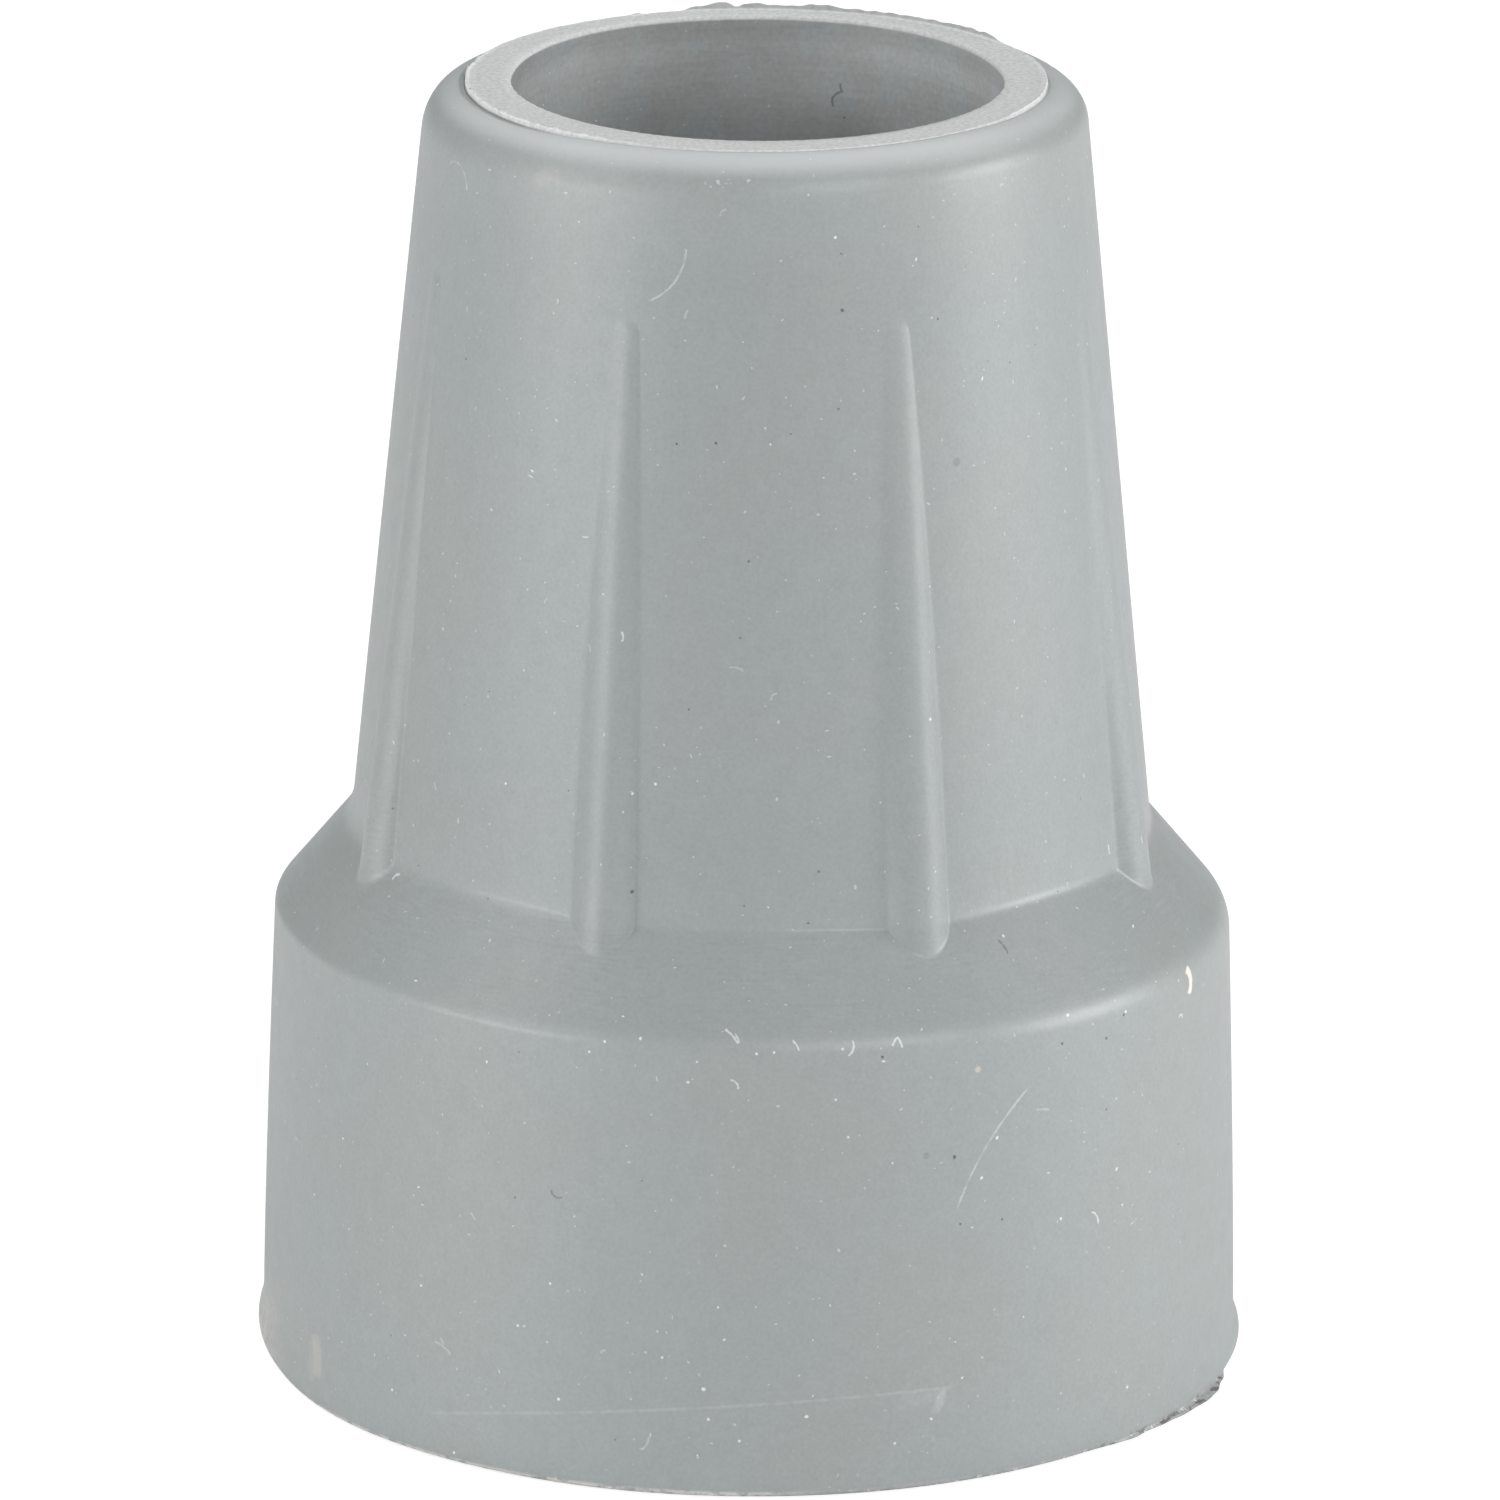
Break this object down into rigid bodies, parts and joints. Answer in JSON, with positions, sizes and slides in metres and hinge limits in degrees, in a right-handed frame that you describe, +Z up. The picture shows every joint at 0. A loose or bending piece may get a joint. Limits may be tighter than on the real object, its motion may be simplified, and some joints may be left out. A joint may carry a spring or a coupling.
{
  "type": "rubber cane tip",
  "caption": "Moulded rubber ferrule: a blind round socket in a tapering ribbed sleeve on a wide base block, pushed onto the end of a cane or chair leg.",
  "frame": {"origin": "centre of the tread's lowest face, on the socket's axis", "axes": "+Z up along the socket's axis, out of its mouth; -Y is the front, midway between two ribs"},
  "size_m": [0.039, 0.039, 0.0516],
  "materials": {
    "rubber": "matte moulded grey rubber"
  },
  "bodies": {
    "root": {"cane_tip": "rubber"}
  },
  "joints": []
}
